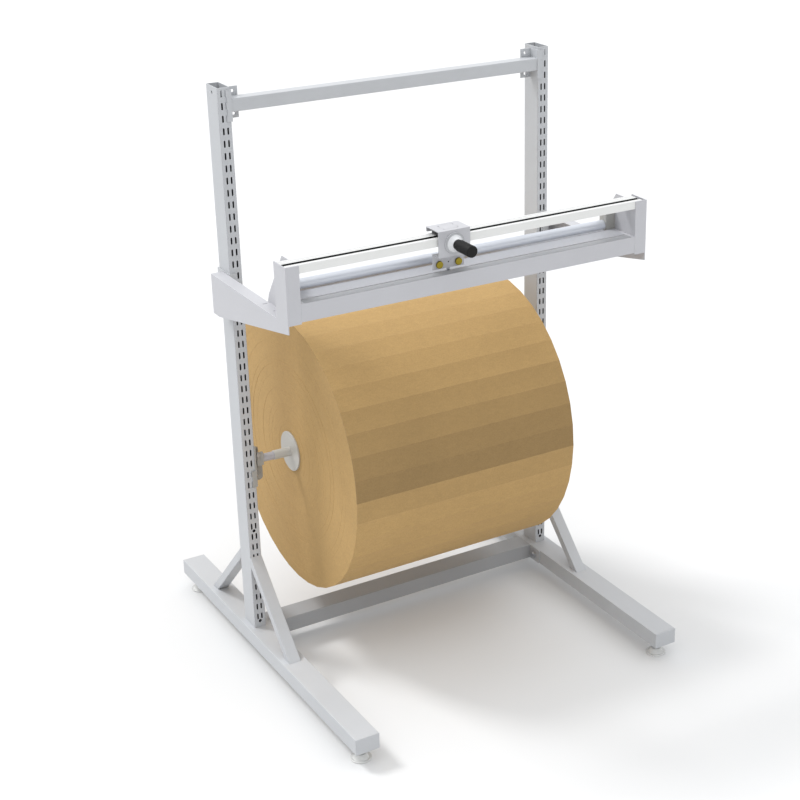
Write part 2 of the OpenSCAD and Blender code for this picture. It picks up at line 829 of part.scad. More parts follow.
module carriage_plate() {
  x0 = carriage_x - carriage_w / 2;
  x1 = carriage_x + carriage_w / 2;
  depth = carriage_back - carriage_front;
  color([0.85, 0.86, 0.88])
  difference() {
    union() {
      box(x0, x1, carriage_front, carriage_back, carriage_top - carriage_t, carriage_top);
      box(x0, x1, carriage_front, carriage_front + carriage_t, carriage_foot, carriage_top);
      box(x0, x1, carriage_front, blade_plate_y + carriage_t, carriage_foot, carriage_foot + carriage_t);
      box(x0, x1, blade_plate_y, blade_plate_y + carriage_t, blade_plate_z, carriage_foot + carriage_t);
      facing_sheet(carriage_back - carriage_t, carriage_t) {
        translate([x0, carriage_top - lip_h + lip_corner]) square([carriage_w, lip_h - lip_corner]);
        translate([x0 + lip_corner, carriage_top - lip_h]) square([carriage_w - 2 * lip_corner, lip_h]);
        for (x = [x0 + lip_corner, x1 - lip_corner])
          translate([x, carriage_top - lip_h + lip_corner]) circle(lip_corner);
      }
    }
    for (p = carriage_screw_places())
      translate([p[0], p[1], carriage_top - carriage_t]) {
        translate([0, 0, -over]) cylinder(r = carriage_screw_r + slack, h = carriage_t + 2 * over);
        cylinder(r1 = carriage_screw_r, r2 = carriage_screw_head_r, h = carriage_t);
      }
    along_y(carriage_x, carriage_front - over, handle_z)
      cylinder(r = handle_bolt_r + slack, h = carriage_t + 2 * over);
    for (s = [-1, 1])
      along_y(carriage_x + s * thumb_gap / 2, blade_plate_y - over, thumb_z)
        cylinder(r = thumb_r + slack, h = carriage_t + 2 * over);
    along_y(carriage_x, blade_plate_y - over, blade_plate_z + spare_hole_rise)
      cylinder(r = spare_hole_r, h = carriage_t + 2 * over);
  }
}

module slide_block() {
  x0 = carriage_x - carriage_w / 2 + block_in;
  x1 = carriage_x + carriage_w / 2 - block_in;
  cavity_floor = rail_top_face - track_lip - cavity_h;
  neck_w = track_w - 2 * (lining_t + foot_side);
  color([0.25, 0.25, 0.26])
  difference() {
    union() {
      box(x0, x1, top_rail_y + block_side, top_rail_y + top_rail_d - block_side,
          rail_top_face + air, carriage_top - carriage_t);
      box(x0, x1, track_y - neck_w / 2, track_y + neck_w / 2,
          rail_top_face - track_lip - over, rail_top_face + over);
      box(x0, x1, track_y - cavity_w / 2 + foot_side, track_y + cavity_w / 2 - foot_side,
          cavity_floor + liner_t + air, rail_top_face - track_lip - air);
    }
    for (p = carriage_screw_places())
      translate([p[0], p[1], carriage_top - carriage_screw_l])
        cylinder(r = carriage_screw_r + slack, h = carriage_screw_l + over);
  }
}

module carriage_screws() {
  color([0.6, 0.61, 0.63])
  for (p = carriage_screw_places())
    translate([p[0], p[1], carriage_top]) difference() {
      union() {
        translate([0, 0, -carriage_screw_l]) cylinder(r = carriage_screw_r, h = carriage_screw_l);
        translate([0, 0, -carriage_t])
          cylinder(r1 = carriage_screw_r, r2 = carriage_screw_head_r, h = carriage_t);
      }
      translate([0, 0, -socket_deep]) cylinder(r = socket_r, h = socket_deep + over, $fn = 6);
    }
}

module handle_boss() {
  color([0.92, 0.92, 0.93])
  along_y(carriage_x, carriage_front, handle_z) mirror([0, 0, 1]) rotate_extrude($fn = 96) polygon([
    [handle_bolt_r + slack, 0], [handle_flange_d / 2, 0], [handle_flange_d / 2, handle_flange_t],
    [ring_r + ring_w / 2, handle_flange_t], [ring_r + ring_w / 2, handle_flange_t - ring_deep],
    [ring_r - ring_w / 2, handle_flange_t - ring_deep], [ring_r - ring_w / 2, handle_flange_t],
    [cone_r, handle_flange_t], [cone_tip_r, handle_flange_t + cone_l], [stud_r, handle_flange_t + cone_l],
    [stud_r, handle_flange_t + cone_l + stud_l], [0, handle_flange_t + cone_l + stud_l],
    [0, handle_bolt_l - carriage_t], [handle_bolt_r + slack, handle_bolt_l - carriage_t]
  ]);
}

module handle_grip() {
  color([0.17, 0.17, 0.17])
  along_y(carriage_x, carriage_front - handle_flange_t - cone_l, handle_z) mirror([0, 0, 1])
    rotate_extrude($fn = 96) polygon([
      [stud_r + slack, 0], [grip_d / 2 - neck_deep, 0], [grip_d / 2 - neck_deep, neck_l],
      [grip_d / 2, neck_l + neck_deep], [grip_d / 2, grip_l - grip_edge],
      [grip_d / 2 - grip_edge, grip_l], [0, grip_l],
      [0, stud_l + slack], [stud_r + slack, stud_l + slack]
    ]);
}

module handle_bolt() {
  color([0.7, 0.71, 0.73])
  along_y(carriage_x, carriage_front + carriage_t, handle_z) {
    cylinder(r = handle_bolt_head_r, h = handle_bolt_head_h);
    mirror([0, 0, 1]) cylinder(r = handle_bolt_r, h = handle_bolt_l - slack);
  }
}

module cutter_blade() {
  top = thumb_z + blade_top_h / 2;
  low = thumb_z - blade_top_h / 2 + blade_foot;
  color([0.8, 0.82, 0.84])
  facing_sheet(blade_plate_y + carriage_t, blade_t) difference() {
    translate([carriage_x, 0]) polygon([
      [-blade_top_half, top], [-blade_top_half, low], [-blade_root_half, low],
      [-blade_tip_half, low - blade_point], [blade_tip_half, low - blade_point],
      [blade_root_half, low], [blade_top_half, low], [blade_top_half, top]
    ]);
    for (s = [-1, 1])
      translate([carriage_x + s * thumb_gap / 2, thumb_z]) circle(thumb_r + slack);
  }
}

module blade_clamp_bar() {
  color([0.55, 0.56, 0.58])
  facing_sheet(blade_plate_y + carriage_t + blade_t, bar_t) difference() {
    translate([carriage_x - bar_half, thumb_z - bar_h / 2]) square([2 * bar_half, bar_h]);
    for (s = [-1, 1])
      translate([carriage_x + s * thumb_gap / 2, thumb_z]) circle(thumb_r + slack);
  }
}

// Knurled head on a plain shank
module thumb_screw(side) {
  face = blade_plate_y - air;
  knurl = [for (i = [0 : 2 * knurl_n - 1])
    (thumb_d / 2 - (i % 2) * knurl_deep) * [cos(i * 180 / knurl_n), sin(i * 180 / knurl_n)]];
  color([0.6, 0.52, 0.2])
  along_y(carriage_x + side * thumb_gap / 2, face, thumb_z) {
    mirror([0, 0, 1]) linear_extrude(thumb_head_t) polygon(knurl);
    cylinder(r = thumb_r, h = air + thumb_l);
  }
}

base_rail(-1);  // left_base_rail
base_rail(1);  // right_base_rail
rail_end_caps();
upright(-1);  // left_upright
upright(1);  // right_upright
brace(-1, true);  // left_front_brace
brace(1, true);  // right_front_brace
brace(-1, false);  // left_rear_brace
brace(1, false);  // right_rear_brace
bottom_cross_beam();
beam_plate(-1);  // left_beam_plate
beam_plate(1);  // right_beam_plate
beam_bolts();
foot_pad(-1, -foot_y);  // front_left_foot_pad
foot_pad(1, -foot_y);  // front_right_foot_pad
foot_pad(-1, foot_y);  // rear_left_foot_pad
foot_pad(1, foot_y);  // rear_right_foot_pad
foot_stem(-1, -foot_y);  // front_left_foot_stem
foot_stem(1, -foot_y);  // front_right_foot_stem
foot_stem(-1, foot_y);  // rear_left_foot_stem
foot_stem(1, foot_y);  // rear_right_foot_stem
foot_lock_nuts();
foot_inserts();
top_crossbar();
crossbar_bracket(-1);  // left_crossbar_bracket
crossbar_bracket(1);  // right_crossbar_bracket
bracket_screws();
shaft_bracket(-1);  // left_shaft_bracket
shaft_bracket(1);  // right_shaft_bracket
shaft_clamp(-1);  // left_shaft_clamp
shaft_clamp(1);  // right_shaft_clamp
roll_shaft();
core_flange(-1);  // left_core_flange
core_flange(1);  // right_core_flange
core_tube();
wrap_roll();
arm(-1);  // left_arm
arm(1);  // right_arm
arm_hook(-1);  // left_arm_hook
arm_hook(1);  // right_arm_hook
lower_channel();
guide_tube();
guide_bushes();
guide_axle();
axle_nuts();
bearing_bracket(-1);  // left_bearing_bracket
bearing_bracket(1);  // right_bearing_bracket
top_rail();
rail_liner();
carriage_plate();
slide_block();
carriage_screws();
handle_boss();
handle_grip();
handle_bolt();
cutter_blade();
blade_clamp_bar();
thumb_screw(-1);  // left_thumb_screw
thumb_screw(1);  // right_thumb_screw
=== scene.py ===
import json
import math
import random

import bmesh
import bpy
from mathutils import Matrix, Vector


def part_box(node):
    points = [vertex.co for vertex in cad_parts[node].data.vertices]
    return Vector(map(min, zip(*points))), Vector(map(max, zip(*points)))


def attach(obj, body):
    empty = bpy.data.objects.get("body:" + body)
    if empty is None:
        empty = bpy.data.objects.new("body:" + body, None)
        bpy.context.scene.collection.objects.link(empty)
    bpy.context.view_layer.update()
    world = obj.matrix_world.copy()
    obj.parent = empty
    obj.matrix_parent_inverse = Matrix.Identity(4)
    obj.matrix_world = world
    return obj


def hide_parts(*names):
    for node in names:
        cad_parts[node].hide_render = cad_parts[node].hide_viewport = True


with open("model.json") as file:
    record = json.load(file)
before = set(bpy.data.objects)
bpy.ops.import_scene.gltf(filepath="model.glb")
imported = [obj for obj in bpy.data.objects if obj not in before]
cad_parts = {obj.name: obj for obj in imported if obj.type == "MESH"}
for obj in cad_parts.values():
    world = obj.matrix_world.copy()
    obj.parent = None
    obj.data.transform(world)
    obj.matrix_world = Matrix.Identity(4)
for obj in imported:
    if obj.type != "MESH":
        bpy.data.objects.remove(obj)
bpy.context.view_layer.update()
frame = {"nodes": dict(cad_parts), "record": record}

nodes = frame["nodes"]


# Colours are written as they look on screen, 0 to 255

def screenColor(red, green, blue):
    def linear(level):
        level /= 255
        return level / 12.92 if level <= 0.04045 else ((level + 0.055) / 1.055) ** 2.4
    return (linear(red), linear(green), linear(blue), 1.0)


# Node tree helpers

def setInput(tree, socket, value):
    if hasattr(value, "is_output"):
        tree.links.new(value, socket)
    else:
        socket.default_value = value


def addMath(tree, operation, first, second=0.0):
    node = tree.nodes.new("ShaderNodeMath")
    node.operation = operation
    setInput(tree, node.inputs[0], first)
    setInput(tree, node.inputs[1], second)
    return node.outputs[0]


def addPoint(tree, scale=(1, 1, 1)):
    coordinates = tree.nodes.new("ShaderNodeTexCoord")
    mapping = tree.nodes.new("ShaderNodeMapping")
    mapping.inputs["Scale"].default_value = scale
    tree.links.new(coordinates.outputs["Object"], mapping.inputs["Vector"])
    return mapping.outputs["Vector"]


def addNoise(tree, point, scale, detail):
    node = tree.nodes.new("ShaderNodeTexNoise")
    tree.links.new(point, node.inputs["Vector"])
    setInput(tree, node.inputs["Scale"], scale)
    node.inputs["Detail"].default_value = detail
    return node.outputs["Fac"]


def addSpread(tree, value, low, high, fromLow=0.3, fromHigh=0.7):
    node = tree.nodes.new("ShaderNodeMapRange")
    node.inputs["From Min"].default_value = fromLow
    node.inputs["From Max"].default_value = fromHigh
    setInput(tree, node.inputs["To Min"], low)
    setInput(tree, node.inputs["To Max"], high)
    tree.links.new(value, node.inputs["Value"])
    return node.outputs["Result"]


# A tone that falls short of 1 by the given share, and may pass it by part of that share

def addSwing(tree, noise, share, brighter):
    high = addMath(tree, "ADD", 1.0, addMath(tree, "MULTIPLY", share, brighter)) if brighter else 1.0
    return addSpread(tree, noise, addMath(tree, "SUBTRACT", 1.0, share), high)


def addShade(tree, color, factor):
    node = tree.nodes.new("ShaderNodeVectorMath")
    node.operation = "SCALE"
    setInput(tree, node.inputs[0], color[:3] if isinstance(color, tuple) else color)
    setInput(tree, node.inputs["Scale"], factor)
    return node.outputs[0]


def startGroup(name, numbers, outputs):
    group = bpy.data.node_groups.new(name, "ShaderNodeTree")
    for label, value in numbers.items():
        kind = "NodeSocketColor" if isinstance(value, tuple) else "NodeSocketFloat"
        group.interface.new_socket(label, in_out="INPUT", socket_type=kind).default_value = value
    for label, kind in outputs.items():
        group.interface.new_socket(label, in_out="OUTPUT", socket_type=kind)
    return group, group.nodes.new("NodeGroupInput").outputs, group.nodes.new("NodeGroupOutput").inputs


# Sprayed finish: cloudy tone, a fine orange-peel height and uneven gloss

sprayedLook = {"cloudScale": 9.0, "speckScale": 2600.0, "speckTone": (0.985, 1.01), "brighter": 0.5}


def makeSprayedGroup():
    group, source, result = startGroup(
        "Sprayed finish",
        {"Color": (0.8, 0.8, 0.8, 1.0), "Tone": 0.03, "Gloss Low": 0.3, "Gloss High": 0.4,
         "Peel Scale": 900.0},
        {"Color": "NodeSocketColor", "Roughness": "NodeSocketFloat", "Height": "NodeSocketFloat"})
    point = addPoint(group)
    cloud = addNoise(group, point, sprayedLook["cloudScale"], detail=2.0)
    speck = addNoise(group, point, sprayedLook["speckScale"], detail=1.0)
    peel = addNoise(group, point, source["Peel Scale"], detail=2.0)
    swing = addSwing(group, cloud, source["Tone"], sprayedLook["brighter"])
    grain = addSpread(group, speck, *sprayedLook["speckTone"])
    tone = addMath(group, "MULTIPLY", swing, grain)
    group.links.new(addShade(group, source["Color"], tone), result["Color"])
    group.links.new(addSpread(group, cloud, source["Gloss Low"], source["Gloss High"]), result["Roughness"])
    group.links.new(peel, result["Height"])
    return group


# Drawn or ground metal: fine streaks along one direction

streakLook = {"along": 0.02, "fineness": 20.0, "cloudScale": 14.0}


def makeStreakGroup():
    group, source, result = startGroup(
        "Streaked metal",
        {"Color": (0.8, 0.8, 0.8, 1.0), "Tone": 0.08, "Gloss Low": 0.2, "Gloss High": 0.35,
         "Streak Scale": 60.0},
        {"Color": "NodeSocketColor", "Roughness": "NodeSocketFloat", "Height": "NodeSocketFloat"})
    point = addPoint(group, (streakLook["along"], 1, 1))
    scale = addMath(group, "MULTIPLY", source["Streak Scale"], streakLook["fineness"])
    streak = addNoise(group, point, scale, detail=4.0)
    cloud = addNoise(group, addPoint(group), streakLook["cloudScale"], detail=3.0)
    swing = addSwing(group, streak, source["Tone"], 0)
    group.links.new(addShade(group, source["Color"], swing), result["Color"])
    group.links.new(addSpread(group, cloud, source["Gloss Low"], source["Gloss High"]), result["Roughness"])
    group.links.new(streak, result["Height"])
    return group


# Paper: short fibres, flecks and a soft cloudiness

paperLook = {"along": 0.22, "fleckShare": 0.45, "cloudScale": 6.0, "mottleAlong": 0.5, "mottleScale": 110.0,
             "brighter": 0.6, "cloudHigh": 1.02, "roughness": (0.72, 0.9)}


def makeFibreGroup():
    group, source, result = startGroup(
        "Paper fibre",
        {"Color": (0.5, 0.35, 0.2, 1.0), "Fleck": 0.1, "Cloud": 0.08, "Mottle": 0.06, "Fibre Scale": 700.0},
        {"Color": "NodeSocketColor", "Roughness": "NodeSocketFloat", "Height": "NodeSocketFloat"})
    point = addPoint(group)
    fibre = addNoise(group, addPoint(group, (paperLook["along"], 1, 1)), source["Fibre Scale"], detail=5.0)
    fleckScale = addMath(group, "MULTIPLY", source["Fibre Scale"], paperLook["fleckShare"])
    fleck = addNoise(group, point, fleckScale, detail=6.0)
    cloud = addNoise(group, point, paperLook["cloudScale"], detail=4.0)
    stretched = addPoint(group, (paperLook["mottleAlong"], 1, 1))
    mottle = addNoise(group, stretched, paperLook["mottleScale"], detail=4.0)
    swing = addSwing(group, fleck, source["Fleck"], paperLook["brighter"])
    drift = addSpread(group, cloud, addMath(group, "SUBTRACT", 1.0, source["Cloud"]), paperLook["cloudHigh"])
    patch = addSwing(group, mottle, source["Mottle"], 0)
    tone = addMath(group, "MULTIPLY", addMath(group, "MULTIPLY", swing, drift), patch)
    group.links.new(addShade(group, source["Color"], tone), result["Color"])
    group.links.new(addSpread(group, fibre, *paperLook["roughness"]), result["Roughness"])
    group.links.new(addMath(group, "ADD", fibre, fleck), result["Height"])
    return group


# A mask of a box between two corners, the same on the left and the right

def makeInsideGroup():
    group, source, result = startGroup(
        "Inside", {"Low X": -1.0, "High X": 1.0, "Low Y": -1.0, "High Y": 1.0, "Low Z": -1.0, "High Z": 2.0},
        {"Mask": "NodeSocketFloat"})
    split = group.nodes.new("ShaderNodeSeparateXYZ")
    group.links.new(addPoint(group), split.inputs[0])
    side = addMath(group, "ABSOLUTE", split.outputs["X"])
    mask = 1.0
    for axis, place in (("X", side), ("Y", split.outputs["Y"]), ("Z", split.outputs["Z"])):
        above = addMath(group, "GREATER_THAN", place, source["Low " + axis])
        below = addMath(group, "LESS_THAN", place, source["High " + axis])
        mask = addMath(group, "MULTIPLY", mask, addMath(group, "MULTIPLY", above, below))
    group.links.new(mask, result["Mask"])
    return group


# A mask for painted shade on a wound roll's flats: full beside its loose end, fading flat by flat over the
# reach

def makeFlatShadeGroup():
    group, source, result = startGroup(
        "Wound flats",
        {"Middle Y": 0.0, "Middle Z": 0.0, "Radius": 0.1, "Flats": 40.0, "Seam": 0.0, "Reach": 4.0},
        {"Mask": "NodeSocketFloat"})
    split = group.nodes.new("ShaderNodeSeparateXYZ")
    group.links.new(addPoint(group), split.inputs[0])
    back = addMath(group, "SUBTRACT", split.outputs["Y"], source["Middle Y"])
    up = addMath(group, "SUBTRACT", split.outputs["Z"], source["Middle Z"])
    away = addMath(group, "SUBTRACT", source["Seam"], addMath(group, "ARCTAN2", up, back))
    turn = addMath(group, "FRACT", addMath(group, "DIVIDE", away, 2 * math.pi))
    flat = addMath(group, "FLOOR", addMath(group, "MULTIPLY", turn, source["Flats"]))
    fade = addMath(group, "DIVIDE", addMath(group, "SUBTRACT", flat, 0.5), source["Reach"])
    strength = addSpread(group, fade, 1.0, 0.0, fromLow=0.0, fromHigh=1.0)
    square = addMath(group, "ADD", addMath(group, "POWER", back, 2.0), addMath(group, "POWER", up, 2.0))
    outside = addMath(group, "GREATER_THAN", addMath(group, "SQRT", square), source["Radius"])
    group.links.new(addMath(group, "MULTIPLY", strength, outside), result["Mask"])
    return group


groups = {"sprayed": makeSprayedGroup(), "streaked": makeStreakGroup(), "fibre": makeFibreGroup(),
          "inside": makeInsideGroup(), "flats": makeFlatShadeGroup()}
print("node groups:", ", ".join(groups))


reliefDepth = 0.0002


def makeMaterial(name, effect, values, bump, **shader):
    material = bpy.data.materials.new(name)
    material.use_nodes = True
    tree = material.node_tree
    principled = tree.nodes["Principled BSDF"]
    for label, value in shader.items():
        principled.inputs[label.replace("_", " ")].default_value = value
    node = tree.nodes.new("ShaderNodeGroup")
    node.node_tree = groups[effect]
    for label, value in values.items():
        node.inputs[label].default_value = value
    tree.links.new(node.outputs["Color"], principled.inputs["Base Color"])
    tree.links.new(node.outputs["Roughness"], principled.inputs["Roughness"])
    relief = tree.nodes.new("ShaderNodeBump")
    relief.inputs["Strength"].default_value = bump
    relief.inputs["Distance"].default_value = reliefDepth
    tree.links.new(node.outputs["Height"], relief.inputs["Height"])
    tree.links.new(relief.outputs["Normal"], principled.inputs["Normal"])
    return material


# Another base colour, or with MULTIPLY another tone, where the mask group is on

def recolor(material, limits, color, mask="inside", blend="MIX"):
    tree = material.node_tree
    principled = tree.nodes["Principled BSDF"]
    where = tree.nodes.new("ShaderNodeGroup")
    where.node_tree = groups[mask]
    for label, value in limits.items():
        where.inputs[label].default_value = value
    mix = tree.nodes.new("ShaderNodeMix")
    mix.data_type = "RGBA"
    mix.blend_type = blend
    tree.links.new(where.outputs["Mask"], mix.inputs["Factor"])
    tree.links.new(principled.inputs["Base Color"].links[0].from_socket, mix.inputs["A"])
    mix.inputs["B"].default_value = color
    tree.links.new(mix.outputs["Result"], principled.inputs["Base Color"])


def sprayed(name, color, tone=0.03, gloss=(0.34, 0.44), bump=0.25, **shader):
    return makeMaterial(name, "sprayed", {"Color": color, "Tone": tone, "Gloss Low": gloss[0],
                                          "Gloss High": gloss[1]}, bump, **shader)


def streaked(name, color, tone, gloss, bump, **shader):
    return makeMaterial(name, "streaked", {"Color": color, "Tone": tone, "Gloss Low": gloss[0],
                                           "Gloss High": gloss[1]}, bump, **shader)


materials = {
    "framePaint": sprayed("Frame paint", screenColor(189, 191, 194)),
    "cutterPaint": sprayed("Cutter paint", screenColor(191, 191, 195)),
    # Painted shade: the cross beam under the roll is a darker copy of the frame paint
    "beamPaint": sprayed("Beam paint", screenColor(164, 165, 167)),
    "bracketPaint": sprayed("Bracket paint", screenColor(166, 165, 161)),
    "railMetal": streaked("Rail metal", screenColor(230, 230, 228),
                          tone=0.03, gloss=(0.4, 0.5), bump=0.05, Metallic=0.06),
    "linerPlastic": sprayed("Liner plastic", screenColor(30, 31, 30), tone=0.05, gloss=(0.45, 0.6)),
    "chromeTube": streaked("Chrome tube", screenColor(215, 219, 227),
                           tone=0.04, gloss=(0.3, 0.33), bump=0.02, Metallic=0.42),
    "brightShaft": streaked("Bright shaft", screenColor(196, 202, 218),
                            tone=0.06, gloss=(0.16, 0.26), bump=0.05, Metallic=0.35),
    "zinc": streaked("Zinc", screenColor(190, 192, 196),
                     tone=0.08, gloss=(0.28, 0.4), bump=0.1, Metallic=1.0),
    "bladeSteel": streaked("Blade steel", screenColor(205, 208, 212),
                           tone=0.08, gloss=(0.2, 0.3), bump=0.1, Metallic=1.0),
    "footPlastic": sprayed("Foot plastic", screenColor(214, 214, 212),
                           tone=0.02, gloss=(0.2, 0.28), bump=0.08),
    "bushPlastic": sprayed("Bush plastic", screenColor(200, 200, 194), tone=0.03, gloss=(0.4, 0.5)),
    "flangePlastic": sprayed("Flange plastic", screenColor(182, 179, 172),
                             tone=0.02, gloss=(0.28, 0.36), bump=0.1),
    "slidePlastic": sprayed("Slide plastic", screenColor(46, 46, 49), tone=0.05, gloss=(0.4, 0.5)),
    "bossPlastic": sprayed("Boss plastic", screenColor(226, 227, 229),
                           tone=0.02, gloss=(0.1, 0.16), bump=0.05),
    "gripRubber": sprayed("Grip rubber", screenColor(26, 26, 26),
                          tone=0.08, gloss=(0.5, 0.65), bump=0.35, Specular_IOR_Level=0.2),
    "thumbBrass": streaked("Thumb brass", screenColor(150, 134, 50),
                           tone=0.15, gloss=(0.3, 0.42), bump=0.15, Metallic=1.0),
    "kraftWrap": makeMaterial(
        "Kraft wrap", "fibre", {"Color": screenColor(189, 154, 99), "Fleck": 0.08, "Cloud": 0.06}, bump=0.35),
    "coreBoard": makeMaterial(
        "Core board", "fibre", {"Color": screenColor(150, 122, 88), "Fleck": 0.14, "Cloud": 0.1}, bump=0.5),
}
print("materials:", len(materials))


# Painted shade: the uprights are coloured dark inside below their open tops, so their slots read black

uprightLow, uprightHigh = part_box("right_upright")
uprightInsideShade = {"skin": 0.0004, "brightTop": 0.03, "color": screenColor(38, 38, 40)}
uprightShadePaint = materials["framePaint"].copy()
uprightShadePaint.name = "Upright paint"
recolor(uprightShadePaint, {
    "Low X": uprightLow.x + uprightInsideShade["skin"], "High X": uprightHigh.x - uprightInsideShade["skin"],
    "Low Y": uprightLow.y + uprightInsideShade["skin"], "High Y": uprightHigh.y - uprightInsideShade["skin"],
    "High Z": uprightHigh.z - uprightInsideShade["brightTop"]}, uprightInsideShade["color"])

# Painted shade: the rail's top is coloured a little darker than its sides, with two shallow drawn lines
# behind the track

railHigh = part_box("top_rail")[1]
railTopShadeAndLines = {"skin": 0.0003, "color": screenColor(219, 219, 218), "linesFromBack": (0.009, 0.018),
           "lineWidth": 0.0013, "lineColor": screenColor(168, 168, 167)}
recolor(materials["railMetal"], {"Low Z": railHigh.z - railTopShadeAndLines["skin"]}, railTopShadeAndLines["color"])
for fromBack in railTopShadeAndLines["linesFromBack"]:
    lineStart = railHigh.y - fromBack
    recolor(materials["railMetal"], {
        "Low Y": lineStart, "High Y": lineStart + railTopShadeAndLines["lineWidth"]}, railTopShadeAndLines["lineColor"])

# The handle's base disc is painted like the carriage

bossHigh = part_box("handle_boss")[1]
disc = {"thickness": 0.0031, "color": screenColor(188, 189, 192)}
recolor(materials["bossPlastic"], {"Low Y": bossHigh.y - disc["thickness"]}, disc["color"])

# Painted shade: the channel's top is coloured darker, and darkest in front of the slit

channelLow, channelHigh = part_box("lower_channel")
channel = {"skin": 0.0003, "slitFront": 0.025, "endLand": 0.009, "top": screenColor(176, 177, 182),
           "lip": screenColor(157, 158, 161)}
channelShadePaint = materials["cutterPaint"].copy()
channelShadePaint.name = "Channel paint"
shadedTopLimits = {"Low Z": channelHigh.z - channel["skin"], "High X": channelHigh.x - channel["endLand"]}
recolor(channelShadePaint, shadedTopLimits, channel["top"])
recolor(channelShadePaint, {**shadedTopLimits, "High Y": channelLow.y + channel["slitFront"]}, channel["lip"])

# The other nodes take their material from the record's slot names

ownPaint = {"left_upright": uprightShadePaint, "right_upright": uprightShadePaint, "lower_channel": channelShadePaint,
            "bottom_cross_beam": materials["beamPaint"]}


def slotMaterial(slot):
    first, *rest = slot.split("_")
    return materials[first + "".join(word.capitalize() for word in rest)]


for part in frame["record"]["subparts"]:
    name, slotName = part["node"], part["material_slot"]
    nodes[name].data.materials.clear()
    nodes[name].data.materials.append(ownPaint[name] if name in ownPaint else slotMaterial(slotName))


# Rounded edges on the frame's own nodes

edges = {
    "weld": 0.00002,
    "segments": 2,
    "angle": 34.0,
    "width": {"default": 0.0005, "left_arm": 0.0009, "right_arm": 0.0009, "lower_channel": 0.0009,
              "top_rail": 0.0006, "foot_inserts": 0.0002},
    "sharp": ("wrap_roll", "left_upright", "right_upright", "left_base_rail", "right_base_rail",
              "bottom_cross_beam", "top_crossbar", "guide_tube", "roll_shaft"),
}


def softenEdges(name):
    width = edges["width"].get(name, edges["width"]["default"])
    piece = nodes[name]
    weld = piece.modifiers.new("Weld", "WELD")
    weld.merge_threshold = edges["weld"]
    bevel = piece.modifiers.new("Bevel", "BEVEL")
    bevel.width = width
    bevel.segments = edges["segments"]
    bevel.limit_method = "ANGLE"
    bevel.angle_limit = math.radians(edges["angle"])
    bevel.use_clamp_overlap = False
    bevel.harden_normals = True


for name in nodes:
    if name not in edges["sharp"]:
        softenEdges(name)
print("edges rounded")


def addPiece(name, points, faces, material, body, node):
    mesh = bpy.data.meshes.new(name)
    mesh.from_pydata(points, [], faces)
    mesh.materials.append(material)
    piece = bpy.data.objects.new(name, mesh)
    bpy.context.scene.collection.objects.link(piece)
    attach(piece, body)
    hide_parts(node)


# Roll of wrap: it creases into flats as it is wound, and its layers end unevenly; the flats beside its loose
# end carry painted shade

wrap = {
    "flats": 40,
    "layers": 36,
    "stagger": 0.0005,
    "looseEnd": 0.0008,
    "looseFlat": 20,
    "looseTones": ((0, 4.0, 0.61), (1, 0.5, 0.88)),
    "seed": 7,
}


def makeWrap():
    low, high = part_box("wrap_roll")
    outer = (high.z - low.z) / 2
    middle = (low + high) / 2
    coreLow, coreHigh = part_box("core_tube")
    inner = (coreHigh.z - coreLow.z) / 2
    draw = random.Random(wrap["seed"])
    layer = (outer - inner) / wrap["layers"]
    outside = outer - layer / 2
    rings = []
    for side, edge in ((1, low.x), (-1, high.x)):
        steps = []
        for index in range(wrap["layers"]):
            back = edge + side * draw.random() * wrap["stagger"]
            steps += [(back, inner + index * layer), (back, inner + (index + 1) * layer)]
        rings += steps if side == 1 else steps[::-1]
    count = wrap["flats"]
    points = []
    for x, radius in rings:
        for index in range(count):
            turn = (wrap["looseFlat"] - index) % count / count
            slope = wrap["looseEnd"] * turn if radius > outside else 0
            angle = 2 * math.pi * index / count
            points.append((x, middle.y + (radius - slope) * math.cos(angle),
                           middle.z + (radius - slope) * math.sin(angle)))
    faces = []
    total = len(rings)
    for ring in range(total):
        after = (ring + 1) % total
        for index in range(count):
            beside = (index + 1) % count
            faces.append((ring * count + index, ring * count + beside,
                          after * count + beside, after * count + index))
    # Painted shade: the flats beside the loose end are darkened, fading over the next flats
    for past, reach, tone in wrap["looseTones"]:
        recolor(materials["kraftWrap"], {
            "Middle Y": middle.y, "Middle Z": middle.z, "Radius": outside, "Flats": count,
            "Seam": 2 * math.pi * (wrap["looseFlat"] + past) / count, "Reach": reach},
            (tone, tone, tone, 1.0), mask="flats", blend="MULTIPLY")
    addPiece("Wrap", points, faces, materials["kraftWrap"], "roll", "wrap_roll")


makeWrap()


# Levelling feet: the stems' thread, drawn as one helix

thread = {
    "pitch": 0.0015,
    "depth": 0.0009,
    "sides": 28,
    "spareTurns": 2,
    "weld": 0.000001,
}


